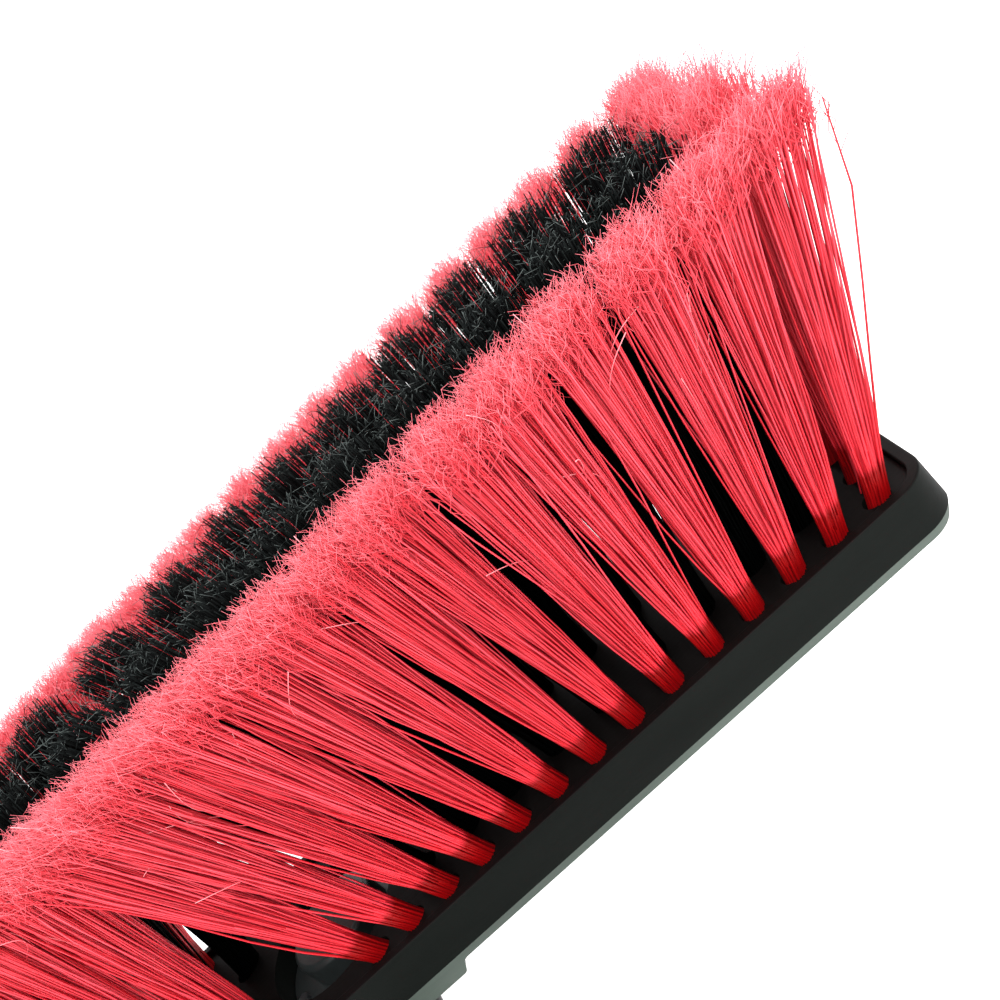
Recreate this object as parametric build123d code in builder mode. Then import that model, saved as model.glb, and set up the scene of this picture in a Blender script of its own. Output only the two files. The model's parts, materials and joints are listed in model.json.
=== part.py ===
"""Telescopic snow brush with a pivoting T head and an ice scraper.

The brush stands on its foot, grip and scraper edge with the bristles up.
Millimetres, +Z up.  X runs along the brush head, +Y points from the scraper to
the head, and the origin is on the floor under the middle of the whole tool.
"""
from build123d import *

import os

os.makedirs("parts", exist_ok=True)

# ---------------------------------------------------------------- whole tool
RIM_Z = 45.0  # rim of the brush block above the floor
POLE_Z = 17.0  # axis of the pole above the floor, also the grip's radius
EDGE_BACK = 650.0  # from the pivot axis back to the scraper's edge
FIT = 0.05  # radial running clearance
LOOSE = 0.2  # clearance round heads, windows and loose pieces

# ---------------------------------------------------------------- brush block
BLOCK_LENGTH = 284.6
BLOCK_WIDTH = 52.0
BLOCK_HEIGHT = 11.3
BLOCK_CORNER = 7.0
BEVEL_DEPTH = 8.9  # where the bevel round the underside starts, below the rim
BEVEL_SLOPE = 2.0  # fall of the bevel for each millimetre inwards
RIM_WIDTH = 2.3
RIM_ROUND = 0.4
RECESS = 1.5
SADDLE_DEPTH = 15.4  # underside of the saddle below the rim
SADDLE_HALF = 21.4  # half of its flat underside, along the head
SADDLE_RUN = 2.8  # length of its sloping ends
SADDLE_CREASE = 2.5
SADDLE_CORNER = 1.5
WELL_R = 17.0
WELL_DEPTH = 11.0
PIVOT_R = 12.0

# ---------------------------------------------------------------- tufts
TUFT_TOP = 69.0  # tips above the rim
HOLE_DEPTH = 8.3
TUFT_SEAT = 6.0  # bottom of a tuft below the rim, over its staple
HOLE_GAP = 0.05
OUTER_COUNT = 14  # red tufts in one half of an outer row
OUTER_PITCH = 9.2
OUTER_FIRST = 13.2
OUTER_Y = 19.0
OUTER_R = 2.2
OUTER_TIP_FIRST = 4.3  # nearest tips to the pivot axis
OUTER_TIP_Y = 34.0
OUTER_TIP_R = 4.0
END_X = 134.0
END_PITCH = 9.5
END_TIP_X = 154.0
END_TIP_PITCH = 17.0
END_TIP_R = 5.0
INNER_COUNT = 9  # black tufts in one half of an inner row
INNER_PITCH = 12.0
INNER_FIRST = 26.0
INNER_Y = 8.5
INNER_R = 3.0
INNER_TIP_Y = 13.0
INNER_TIP_R = 5.4
LEAN_AT_PIVOT = -12.6  # lean of the tips along the head, growing outwards with a square term
LEAN_RATE = 0.115
LEAN_GROWTH = 0.0011
STAPLE_THICK = 0.4
STAPLE_HEIGHT = 1.6
STAPLE_SHORT = 0.4

# ---------------------------------------------------------------- pivot lock
HUB_R = 16.5
HUB_TOP = 15.7  # all depths below the rim
HUB_BOTTOM = 20.4
SLEEVE_TOP = 8.7
SHOULDER = 13.65
RING_TOP = 9.8
RING_BOTTOM = 10.8
RING_R = 13.2
RING_SLOT = 5.0
RING_GROOVE_R = 11.2
SPLINE_TEETH = 12
SPLINE_ROOT_R = 8.6
SPLINE_TIP_R = 7.4
SPLINE_WIDTH = 1.8
TOOTH_ROOT = 0.4  # how far a tooth is sunk into its wall
GEAR_ROOT_R = 7.2
GEAR_TIP_R = 8.35
GEAR_BOTTOM = 12.4
GEAR_TOP = 6.9
GEAR_FLOOR = 1.5
GEAR_POCKET_R = 6.2
CAP_FLANGE_R = 16.7
CAP_FLANGE_TOP = 6.8
CAP_CAVITY_R = 13.6
CAP_PLATE_BOTTOM = 8.4
CAP_TURRET_R = 10.8
CAP_TURRET_ROUND = 1.2
CAP_TOP = 0.8
CAP_CEILING = 2.4
CAP_SCREW_CIRCLE = 15.15
CAP_SCREW_R = 0.9
CAP_SCREW_HEAD_R = 1.4
CAP_SCREW_HEAD = 1.1
CAP_SCREW_BITE = 3.5  # depth in the block
SPRING_R = 5.2
SPRING_WIRE_R = 0.35
SPRING_TURNS = 4.5
BUTTON_R = 7.2
BUTTON_BOTTOM = 26.5
BUTTON_FLANGE = 1.15
BUTTON_ROUND = 1.5
BUTTON_DISH_R = 4.6
BUTTON_DISH = 0.8

# ---------------------------------------------------------------- neck, distances back from the pivot
ARM_WIDTH = 19.0
ARM_THICK = 4.2
ARM_START = 10.0
SOCKET_R = 12.4
SOCKET_START = 40.0
SOCKET_END = 88.0
TUBE_SEAT = 44.0
FOOT_WIDTH = 18.0
FOOT_START = 48.0
FOOT_LENGTH = 36.0
FOOT_CORNER = 4.0
RIVET_AT = (58.0, 76.0)
RIVET_R = 1.6
RIVET_HEAD_R = 2.6
RIVET_HEAD = 1.4
RIVET_FLAT = 11.2

# ---------------------------------------------------------------- pole
INNER_TUBE_R = 9.5
OUTER_TUBE_R = 11.4
TUBE_WALL = 1.0
INNER_TUBE_END = 462.0
OUTER_TUBE_START = 170.0
OUTER_TUBE_END = 556.0
BUSHING_LENGTH = 26.0
BUSHING_FLANGE = 2.0
PLUG_DISC = 6.0
PLUG_BOSS = 10.0

# ---------------------------------------------------------------- lever clamp
COLLAR_R = 14.6
COLLAR_LENGTH = 36.0
COLLAR_ROUND = 1.0
PIN_BACK = 180.0
PIN_UP = 17.5  # clamp pin above the pole's axis
PIN_R = 1.5
PIN_HEAD_R = 2.4
PIN_HEAD = 1.0
CAM_R = 4.0
CAM_OFFSET = 0.6
CAM_HALF = 4.9
EAR_IN = 5.2
EAR_OUT = 8.4
EAR_R = 4.5
EAR_ROOT = 5.0  # lower end of the ears above the pole's axis
WINDOW_BACK = (174.0, 190.0)
SHOE_BACK = (175.3, 184.7)
SHOE_HALF = 3.7
SHOE_LIFT = 0.1  # gap to the inner tube with the clamp open
LEVER_END = 228.0
LEVER_HALF = 8.4
LEVER_WIDE_FROM = 191.0
LEVER_UNDER = 15.2  # lever's underside above the pole's axis
LEVER_THICK = 4.0
LEVER_TIP = 10.0  # length of the upturned tip
LEVER_LIFT = 4.0
LEVER_CORNER = 3.0
COLLAR_SCREW_BACK = 200.0
COLLAR_SCREW_R = 1.4
COLLAR_SCREW_HEAD_R = 2.8
COLLAR_SCREW_HEAD = 2.4
COLLAR_SCREW_SEAT = 1.4  # depth of its seat in the collar

# ---------------------------------------------------------------- grip and scraper
GRIP_START = 340.0
GRIP_LENGTH = 175.0
GRIP_ROUND = 4.0
GRIP_RING_R = 14.2
GRIP_RING_LENGTH = 6.0
GRIP_RING_EDGE = 0.8
SOCKET2_START = 527.0
SOCKET2_R = 14.5
PADDLE_NECK = 566.0
PADDLE_FLAT = 586.0
PADDLE_END = 608.0
PADDLE_WIDTH = 62.0
PADDLE_THICK = 7.0
PADDLE_CORNER = 6.0
PADDLE_LAP = 8.0  # how far the flat starts after the neck
PADDLE_SLIM = 3.0  # how much narrower the neck ends, each side
BLADE_START = 587.0
BLADE_BEND = 608.0
BLADE_THICK = 4.2
BLADE_EDGE = 0.8
BLADE_EDGE_WIDTH = 104.0
BLADE_SHOULDER = 12.0  # length of the full-width strip at the edge
HANG_BACK = 596.0
HANG_R = 4.0
BLADE_SCREW_X = 22.0
BLADE_SCREW_BACK = 598.0
BLADE_SCREW_R = 1.7
BLADE_SCREW_HEAD_R = 3.4
BLADE_SCREW_HEAD = 1.8
RIDGES = 11
RIDGE_PITCH = 8.8
RIDGE_WIDTH = 6.6
RIDGE_HEIGHT = 2.4
RIDGE_START = 615.0
RIDGE_END = 641.0
RIDGE_RAMP = 3.0

# The widest reach of the tool in +Y is the tip of the outer row of tufts.
REACH_FRONT = OUTER_TIP_Y + OUTER_TIP_R
HUB_Y = (EDGE_BACK - REACH_FRONT) / 2


def below_rim(depth):
    """Level plane at a depth below the rim, centred on the pivot axis."""
    return Plane(origin=(0, HUB_Y, RIM_Z - depth))


def across(back, up=0.0):
    """Plane across the pole, facing the scraper, at a distance back from the pivot."""
    return Plane(origin=(0, HUB_Y - back, POLE_Z + up), x_dir=(1, 0, 0), z_dir=(0, -1, 0))


def floor_plan(z=0.0):
    """Level plane above the floor, its X pointing back from the pivot axis."""
    return Plane(origin=(0, HUB_Y, z), x_dir=(0, -1, 0), z_dir=(0, 0, 1))


# Upright plane on the tool's middle: X points back from the pivot, Y is height.
SIDE = Plane(origin=(0, HUB_Y, 0), x_dir=(0, -1, 0), z_dir=(-1, 0, 0))


def save(builder, name):
    """Name a finished piece and write its STEP file."""
    builder.part.label = name
    export_step(builder.part, f"parts/{name}.step")


def tip_along(foot):
    """Where along the head a tip stands: inwards of its foot near the pivot, outwards near the end."""
    return max(OUTER_TIP_FIRST, foot + LEAN_AT_PIVOT + LEAN_RATE * foot + LEAN_GROWTH * foot**2)


def long_row(first, pitch, count, y, tip_y):
    """Foot and tip, as (x, y, tip x, tip y), of a row of tufts on both sides of the pivot."""
    row = []
    for i in range(count):
        foot = first + i * pitch
        for side in (1, -1):
            row.append((side * foot, y, side * tip_along(foot), tip_y))
    return row


def end_rows():
    """Foot and tip of the tufts across the two ends of the head."""
    ends = []
    for side in (1, -1):
        for k in (-1, 0, 1):
            ends.append((side * END_X, k * END_PITCH, side * END_TIP_X, k * END_TIP_PITCH))
    return ends


ROWS = {
    "far_row_tufts": long_row(OUTER_FIRST, OUTER_PITCH, OUTER_COUNT, OUTER_Y, OUTER_TIP_Y),
    "near_row_tufts": long_row(OUTER_FIRST, OUTER_PITCH, OUTER_COUNT, -OUTER_Y, -OUTER_TIP_Y),
    "end_tufts": end_rows(),
    "inner_far_tufts": long_row(INNER_FIRST, INNER_PITCH, INNER_COUNT, INNER_Y, INNER_TIP_Y),
    "inner_near_tufts": long_row(INNER_FIRST, INNER_PITCH, INNER_COUNT, -INNER_Y, -INNER_TIP_Y),
}
TUFT_SIZES = {
    "far_row_tufts": (OUTER_R, OUTER_TIP_R),
    "near_row_tufts": (OUTER_R, OUTER_TIP_R),
    "end_tufts": (OUTER_R, END_TIP_R),
    "inner_far_tufts": (INNER_R, INNER_TIP_R),
    "inner_near_tufts": (INNER_R, INNER_TIP_R),
}
CAP_SCREWS = PolarLocations(CAP_SCREW_CIRCLE, 3, start_angle=90)

# ---------------------------------------------------------------- brush block
def bevel_inset(depth):
    """How far the bevelled underside has moved inwards at a depth below the rim."""
    return (depth - BEVEL_DEPTH) / BEVEL_SLOPE


# Saddle under the pivot: its long sides carry on the block's bevel.
with BuildPart() as saddle:
    with BuildSketch(Plane(origin=(0, HUB_Y, RIM_Z), x_dir=(1, 0, 0), z_dir=(0, -1, 0))):
        with BuildLine():
            root = SADDLE_HALF + SADDLE_RUN
            Polyline(
                (-root - SADDLE_CREASE, -BEVEL_DEPTH),
                (-root - SADDLE_CREASE, -BLOCK_HEIGHT),
                (-root, -BLOCK_HEIGHT),
                (-SADDLE_HALF, -SADDLE_DEPTH),
                (SADDLE_HALF, -SADDLE_DEPTH),
                (root, -BLOCK_HEIGHT),
                (root + SADDLE_CREASE, -BLOCK_HEIGHT),
                (root + SADDLE_CREASE, -BEVEL_DEPTH),
                close=True,
            )
        make_face()
        corners = vertices()
        fillet(corners.filter_by_position(Axis.X, root - 1, root + 1), SADDLE_CREASE)
        fillet(corners.filter_by_position(Axis.X, -root - 1, -root + 1), SADDLE_CREASE)
        fillet(vertices().group_by(Axis.Y)[0], SADDLE_CORNER)
    extrude(amount=BLOCK_WIDTH / 2, both=True)
    with BuildSketch(Plane(origin=(0, HUB_Y, RIM_Z), x_dir=(0, 1, 0), z_dir=(1, 0, 0))):
        with BuildLine():
            Polyline(
                (-BLOCK_WIDTH / 2, -BEVEL_DEPTH),
                (-BLOCK_WIDTH / 2 + bevel_inset(SADDLE_DEPTH), -SADDLE_DEPTH),
                (BLOCK_WIDTH / 2 - bevel_inset(SADDLE_DEPTH), -SADDLE_DEPTH),
                (BLOCK_WIDTH / 2, -BEVEL_DEPTH),
                close=True,
            )
        make_face()
    extrude(amount=BLOCK_LENGTH / 2, both=True, mode=Mode.INTERSECT)

with BuildPart() as brush_block:
    with BuildSketch(below_rim(BEVEL_DEPTH)):
        RectangleRounded(BLOCK_LENGTH, BLOCK_WIDTH, BLOCK_CORNER)
    extrude(amount=BEVEL_DEPTH)
    with BuildSketch(below_rim(BLOCK_HEIGHT)):
        inset = bevel_inset(BLOCK_HEIGHT)
        RectangleRounded(BLOCK_LENGTH - 2 * inset, BLOCK_WIDTH - 2 * inset, BLOCK_CORNER - inset)
    with BuildSketch(below_rim(BEVEL_DEPTH)):
        RectangleRounded(BLOCK_LENGTH, BLOCK_WIDTH, BLOCK_CORNER)
    loft(ruled=True)
    add(saddle.part)
    # Shallow recess inside the rim.
    with BuildSketch(below_rim(RECESS)):
        RectangleRounded(
            BLOCK_LENGTH - 2 * RIM_WIDTH, BLOCK_WIDTH - 2 * RIM_WIDTH, BLOCK_CORNER - RIM_WIDTH
        )
    extrude(amount=RECESS, mode=Mode.SUBTRACT)
    fillet(faces().sort_by(Axis.Z)[-1].edges(), RIM_ROUND)
    # Tuft holes.
    for row, spots in ROWS.items():
        with BuildSketch(below_rim(HOLE_DEPTH)):
            with Locations(*[(x, y) for x, y, _, _ in spots]):
                Circle(TUFT_SIZES[row][0] + HOLE_GAP)
        extrude(amount=HOLE_DEPTH, mode=Mode.SUBTRACT)
    # Well for the pivot lock, its bore and its screw holes.
    with BuildSketch(below_rim(WELL_DEPTH)):
        Circle(WELL_R)
    extrude(amount=WELL_DEPTH, mode=Mode.SUBTRACT)
    with BuildSketch(below_rim(SADDLE_DEPTH)):
        Circle(PIVOT_R)
    extrude(amount=SADDLE_DEPTH, mode=Mode.SUBTRACT)
    with BuildSketch(below_rim(WELL_DEPTH)):
        with CAP_SCREWS:
            Circle(CAP_SCREW_R + FIT)
    extrude(amount=-CAP_SCREW_BITE - FIT, mode=Mode.SUBTRACT)
save(brush_block, "brush_block")


# ---------------------------------------------------------------- tufts and staples
def tuft_group(name):
    """Leaning, widening tufts of one row, each with its straight root in the block."""
    foot_r, tip_r = TUFT_SIZES[name]
    with BuildPart() as group:
        for x, y, tip_x, tip_y in ROWS[name]:
            with BuildSketch(below_rim(TUFT_SEAT)):
                with Locations((x, y)):
                    Circle(foot_r)
            extrude(amount=TUFT_SEAT - RECESS)
            with BuildSketch(below_rim(RECESS)):
                with Locations((x, y)):
                    Circle(foot_r)
            with BuildSketch(below_rim(-TUFT_TOP)):
                with Locations((tip_x, tip_y)):
                    Circle(tip_r)
            loft()
    return group


for row_name in ROWS:
    save(tuft_group(row_name), row_name)

with BuildPart() as tuft_staples:
    for row, spots in ROWS.items():
        with BuildSketch(below_rim(HOLE_DEPTH)):
            with Locations(*[(x, y) for x, y, _, _ in spots]):
                Rectangle(2 * TUFT_SIZES[row][0] - STAPLE_SHORT, STAPLE_THICK)
        extrude(amount=STAPLE_HEIGHT)
save(tuft_staples, "tuft_staples")

# ---------------------------------------------------------------- pivot lock
def spline_teeth():
    """Teeth that point inwards from the wall of a splined bore."""
    middle = (SPLINE_TIP_R + SPLINE_ROOT_R + TOOTH_ROOT) / 2
    with PolarLocations(middle, SPLINE_TEETH, start_angle=180 / SPLINE_TEETH):
        Rectangle(SPLINE_ROOT_R - SPLINE_TIP_R + TOOTH_ROOT, SPLINE_WIDTH)


def gear_outline():
    """Round plate with teeth that slide in the splined bores."""
    Circle(GEAR_ROOT_R)
    with PolarLocations((GEAR_ROOT_R + GEAR_TIP_R - TOOTH_ROOT) / 2, SPLINE_TEETH):
        Rectangle(GEAR_TIP_R - GEAR_ROOT_R + TOOTH_ROOT, SPLINE_WIDTH)


with BuildPart() as pivot_cap:
    with BuildSketch(below_rim(WELL_DEPTH)):
        Circle(CAP_FLANGE_R)
    extrude(amount=WELL_DEPTH - CAP_FLANGE_TOP)
    with BuildSketch(below_rim(CAP_PLATE_BOTTOM)):
        Circle(CAP_TURRET_R)
    extrude(amount=CAP_PLATE_BOTTOM - CAP_TOP)
    fillet(faces().sort_by(Axis.Z)[-1].edges(), CAP_TURRET_ROUND)
    with BuildSketch(below_rim(WELL_DEPTH)):
        Circle(CAP_CAVITY_R)
    extrude(amount=WELL_DEPTH - CAP_PLATE_BOTTOM, mode=Mode.SUBTRACT)
    with BuildSketch(below_rim(CAP_PLATE_BOTTOM)):
        Circle(SPLINE_ROOT_R)
    extrude(amount=CAP_PLATE_BOTTOM - CAP_CEILING, mode=Mode.SUBTRACT)
    with BuildSketch(below_rim(CAP_PLATE_BOTTOM - FIT)):
        spline_teeth()
    extrude(amount=CAP_PLATE_BOTTOM - FIT - CAP_CEILING)
    with BuildSketch(below_rim(WELL_DEPTH)):
        with CAP_SCREWS:
            Circle(CAP_SCREW_R + FIT)
    extrude(amount=WELL_DEPTH, mode=Mode.SUBTRACT)
save(pivot_cap, "pivot_cap")

with BuildPart() as cap_screws:
    with BuildSketch(below_rim(CAP_FLANGE_TOP)):
        with CAP_SCREWS:
            Circle(CAP_SCREW_HEAD_R)
    extrude(amount=CAP_SCREW_HEAD)
    with BuildSketch(below_rim(CAP_FLANGE_TOP)):
        with CAP_SCREWS:
            Circle(CAP_SCREW_R)
    extrude(amount=CAP_FLANGE_TOP - WELL_DEPTH - CAP_SCREW_BITE)
save(cap_screws, "cap_screws")

with BuildPart() as lock_gear:
    with BuildSketch(below_rim(GEAR_BOTTOM)):
        gear_outline()
    extrude(amount=GEAR_BOTTOM - GEAR_TOP)
    with BuildSketch(below_rim(GEAR_BOTTOM - GEAR_FLOOR)):
        Circle(GEAR_POCKET_R)
    extrude(amount=GEAR_BOTTOM, mode=Mode.SUBTRACT)
save(lock_gear, "lock_gear")

SPRING_BOTTOM = GEAR_BOTTOM - GEAR_FLOOR - SPRING_WIRE_R - FIT
SPRING_TOP = CAP_CEILING + SPRING_WIRE_R + FIT
with BuildPart() as return_spring:
    with BuildLine(below_rim(SPRING_BOTTOM)):
        coil_height = SPRING_BOTTOM - SPRING_TOP
        coil = Helix(pitch=coil_height / SPRING_TURNS, height=coil_height, radius=SPRING_R)
    with BuildSketch(Plane(origin=coil @ 0, z_dir=coil % 0)):
        Circle(SPRING_WIRE_R)
    sweep(path=coil, is_frenet=True)
save(return_spring, "return_spring")

with BuildPart() as release_button:
    with BuildSketch(below_rim(BUTTON_BOTTOM)):
        Circle(BUTTON_R)
    extrude(amount=BUTTON_BOTTOM - GEAR_BOTTOM - FIT - BUTTON_FLANGE)
    fillet(faces().sort_by(Axis.Z)[0].edges(), BUTTON_ROUND)
    with BuildSketch(below_rim(GEAR_BOTTOM + FIT + BUTTON_FLANGE)):
        gear_outline()
    extrude(amount=BUTTON_FLANGE)
    # Shallow dish for the thumb.
    with BuildSketch(below_rim(BUTTON_BOTTOM)):
        Circle(BUTTON_DISH_R)
    extrude(amount=BUTTON_DISH, mode=Mode.SUBTRACT)
save(release_button, "release_button")

with BuildPart() as snap_ring:
    with BuildSketch(below_rim(RING_BOTTOM)):
        Circle(RING_R)
        Circle(RING_GROOVE_R + FIT, mode=Mode.SUBTRACT)
        with Locations((0, RING_R)):
            Rectangle(RING_SLOT, 2 * (RING_R - RING_GROOVE_R) + RING_SLOT, mode=Mode.SUBTRACT)
    extrude(amount=RING_BOTTOM - RING_TOP)
save(snap_ring, "snap_ring")

# ---------------------------------------------------------------- neck
with BuildPart() as neck_arm:
    with BuildSketch(below_rim(HUB_BOTTOM)):
        Circle(HUB_R)
    extrude(amount=HUB_BOTTOM - HUB_TOP)
    with BuildSketch(below_rim(HUB_TOP)):
        Circle(PIVOT_R - FIT)
    extrude(amount=HUB_TOP - SLEEVE_TOP)
    # Arm that swells from the flat hub to the round socket.
    hub_middle = RIM_Z - (HUB_TOP + HUB_BOTTOM) / 2 - POLE_Z
    with BuildSketch(across(ARM_START, hub_middle)):
        Ellipse(ARM_WIDTH / 2, ARM_THICK / 2)
    with BuildSketch(across(SOCKET_START)):
        Circle(SOCKET_R)
    loft()
    with BuildSketch(across(SOCKET_START)):
        Circle(SOCKET_R)
    extrude(amount=SOCKET_END - SOCKET_START)
    # Flat foot under the socket.
    with BuildSketch(floor_plan()):
        with Locations((FOOT_START + FOOT_LENGTH / 2, 0)):
            RectangleRounded(FOOT_LENGTH, FOOT_WIDTH, FOOT_CORNER)
    extrude(amount=POLE_Z - INNER_TUBE_R - TUBE_WALL)
    # Button bore, splined bore and ring groove.
    with BuildSketch(below_rim(HUB_BOTTOM)):
        Circle(BUTTON_R + FIT)
    extrude(amount=HUB_BOTTOM, mode=Mode.SUBTRACT)
    with BuildSketch(below_rim(SHOULDER)):
        Circle(SPLINE_ROOT_R)
    extrude(amount=SHOULDER, mode=Mode.SUBTRACT)
    with BuildSketch(below_rim(SHOULDER)):
        spline_teeth()
    extrude(amount=SHOULDER - SLEEVE_TOP)
    with BuildSketch(below_rim(RING_BOTTOM + FIT)):
        Circle(PIVOT_R)
        Circle(RING_GROOVE_R, mode=Mode.SUBTRACT)
    extrude(amount=RING_BOTTOM - RING_TOP + 2 * FIT, mode=Mode.SUBTRACT)
    # Bore for the inner tube, and rivet holes with flats for the heads.
    with BuildSketch(across(TUBE_SEAT)):
        Circle(INNER_TUBE_R + FIT)
    extrude(amount=SOCKET_END, mode=Mode.SUBTRACT)
    for back in RIVET_AT:
        for side in (1, -1):
            flat = Plane(origin=(side * RIVET_FLAT, HUB_Y - back, POLE_Z), z_dir=(side, 0, 0))
            with BuildSketch(flat):
                Circle(RIVET_HEAD_R + LOOSE)
            extrude(amount=SOCKET_R, mode=Mode.SUBTRACT)
            with BuildSketch(flat):
                Circle(RIVET_R + FIT)
            extrude(amount=-RIVET_FLAT, mode=Mode.SUBTRACT)
save(neck_arm, "neck_arm")

with BuildPart() as neck_rivets:
    for back in RIVET_AT:
        middle = Plane(origin=(0, HUB_Y - back, POLE_Z), z_dir=(1, 0, 0))
        with BuildSketch(middle):
            Circle(RIVET_R)
        extrude(amount=RIVET_FLAT, both=True)
        for side in (1, -1):
            with BuildSketch(Plane(origin=(side * RIVET_FLAT, HUB_Y - back, POLE_Z), z_dir=(side, 0, 0))):
                Circle(RIVET_HEAD_R)
            extrude(amount=RIVET_HEAD)
save(neck_rivets, "neck_rivets")

# ---------------------------------------------------------------- pole
with BuildPart() as inner_tube:
    with BuildSketch(across(TUBE_SEAT)):
        Circle(INNER_TUBE_R)
        Circle(INNER_TUBE_R - TUBE_WALL, mode=Mode.SUBTRACT)
    extrude(amount=INNER_TUBE_END - TUBE_SEAT)
    for back in RIVET_AT:
        with BuildSketch(Plane(origin=(0, HUB_Y - back, POLE_Z), z_dir=(1, 0, 0))):
            Circle(RIVET_R + FIT)
        extrude(amount=RIVET_FLAT, both=True, mode=Mode.SUBTRACT)
save(inner_tube, "inner_tube")

with BuildPart() as tube_end_plug:
    with BuildSketch(across(INNER_TUBE_END)):
        Circle(OUTER_TUBE_R - TUBE_WALL - FIT)
    extrude(amount=PLUG_DISC)
    with BuildSketch(across(INNER_TUBE_END)):
        Circle(INNER_TUBE_R - TUBE_WALL - FIT)
    extrude(amount=-PLUG_BOSS)
save(tube_end_plug, "tube_end_plug")


def clamp_window(half_width, back_range):
    """Outline, seen from above, of the opening over the clamp's shoe."""
    front, rear = back_range
    with BuildSketch(floor_plan(POLE_Z)) as window:
        with Locations(((front + rear) / 2, 0)):
            Rectangle(rear - front, 2 * half_width)
    return window.sketch


SHOE_WINDOW = clamp_window(SHOE_HALF + LOOSE, (SHOE_BACK[0] - LOOSE, SHOE_BACK[1] + LOOSE))

with BuildPart() as outer_tube:
    with BuildSketch(across(OUTER_TUBE_START)):
        Circle(OUTER_TUBE_R)
        Circle(OUTER_TUBE_R - TUBE_WALL, mode=Mode.SUBTRACT)
    extrude(amount=OUTER_TUBE_END - OUTER_TUBE_START)
    extrude(SHOE_WINDOW, amount=2 * COLLAR_R, mode=Mode.SUBTRACT)
    with BuildSketch(floor_plan()):
        with Locations((COLLAR_SCREW_BACK, 0)):
            Circle(COLLAR_SCREW_R + FIT)
    extrude(amount=POLE_Z, mode=Mode.SUBTRACT)
save(outer_tube, "outer_tube")

with BuildPart() as guide_bushing:
    with BuildSketch(across(OUTER_TUBE_START)):
        Circle(OUTER_TUBE_R - TUBE_WALL - FIT)
    extrude(amount=BUSHING_LENGTH)
    with BuildSketch(across(OUTER_TUBE_START)):
        Circle(OUTER_TUBE_R + TUBE_WALL)
    extrude(amount=-BUSHING_FLANGE)
    with BuildSketch(across(OUTER_TUBE_START - BUSHING_FLANGE)):
        Circle(INNER_TUBE_R + FIT)
    extrude(amount=BUSHING_LENGTH + BUSHING_FLANGE, mode=Mode.SUBTRACT)
    extrude(SHOE_WINDOW, amount=2 * COLLAR_R, mode=Mode.SUBTRACT)
save(guide_bushing, "guide_bushing")

# ---------------------------------------------------------------- lever clamp
PIN_Z = POLE_Z + PIN_UP
COLLAR_SEAT_Z = POLE_Z - COLLAR_R + COLLAR_SCREW_SEAT

with BuildPart() as clamp_collar:
    with BuildSketch(across(OUTER_TUBE_START)):
        Circle(COLLAR_R)
    extrude(amount=COLLAR_LENGTH)
    fillet(edges().filter_by(GeomType.CIRCLE), COLLAR_ROUND)
    # Two ears that carry the clamp pin.
    with BuildSketch(SIDE):
        with Locations((PIN_BACK, PIN_Z)):
            Circle(EAR_R)
        with Locations((PIN_BACK, PIN_Z)):
            Rectangle(2 * EAR_R, PIN_UP - EAR_ROOT, align=(Align.CENTER, Align.MAX))
    extrude(amount=EAR_OUT, both=True)
    with BuildSketch(across(OUTER_TUBE_START)):
        Circle(OUTER_TUBE_R + FIT)
    extrude(amount=COLLAR_LENGTH, mode=Mode.SUBTRACT)
    extrude(clamp_window(EAR_IN, WINDOW_BACK), amount=2 * COLLAR_R, mode=Mode.SUBTRACT)
    with BuildSketch(SIDE):
        with Locations((PIN_BACK, PIN_Z)):
            Circle(PIN_R)
    extrude(amount=EAR_OUT, both=True, mode=Mode.SUBTRACT)
    # Hole and flat for the screw from below.
    with BuildSketch(floor_plan()):
        with Locations((COLLAR_SCREW_BACK, 0)):
            Circle(COLLAR_SCREW_R + FIT)
    extrude(amount=POLE_Z, mode=Mode.SUBTRACT)
    with BuildSketch(floor_plan()):
        with Locations((COLLAR_SCREW_BACK, 0)):
            Circle(COLLAR_SCREW_HEAD_R + LOOSE)
    extrude(amount=COLLAR_SEAT_Z, mode=Mode.SUBTRACT)
save(clamp_collar, "clamp_collar")

with BuildPart() as collar_screw:
    with BuildSketch(floor_plan(COLLAR_SEAT_Z)):
        with Locations((COLLAR_SCREW_BACK, 0)):
            Circle(COLLAR_SCREW_HEAD_R)
    extrude(amount=-COLLAR_SCREW_HEAD)
    with BuildSketch(floor_plan(COLLAR_SEAT_Z)):
        with Locations((COLLAR_SCREW_BACK, 0)):
            Circle(COLLAR_SCREW_R)
    extrude(amount=POLE_Z - OUTER_TUBE_R + TUBE_WALL - LOOSE - COLLAR_SEAT_Z)
save(collar_screw, "collar_screw")

with BuildPart() as clamp_shoe:
    with BuildSketch(floor_plan(POLE_Z + INNER_TUBE_R + SHOE_LIFT)):
        with Locations(((SHOE_BACK[0] + SHOE_BACK[1]) / 2, 0)):
            Rectangle(SHOE_BACK[1] - SHOE_BACK[0], 2 * SHOE_HALF)
    extrude(amount=PIN_UP - CAM_R - CAM_OFFSET - INNER_TUBE_R - SHOE_LIFT - FIT)
save(clamp_shoe, "clamp_shoe")

with BuildPart() as clamp_pin:
    with BuildSketch(SIDE):
        with Locations((PIN_BACK, PIN_Z)):
            Circle(PIN_R)
    extrude(amount=EAR_OUT, both=True)
    for side in (1, -1):
        with BuildSketch(SIDE.offset(side * EAR_OUT)):
            with Locations((PIN_BACK, PIN_Z)):
                Circle(PIN_HEAD_R)
        extrude(amount=side * PIN_HEAD)
save(clamp_pin, "clamp_pin")

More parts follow.
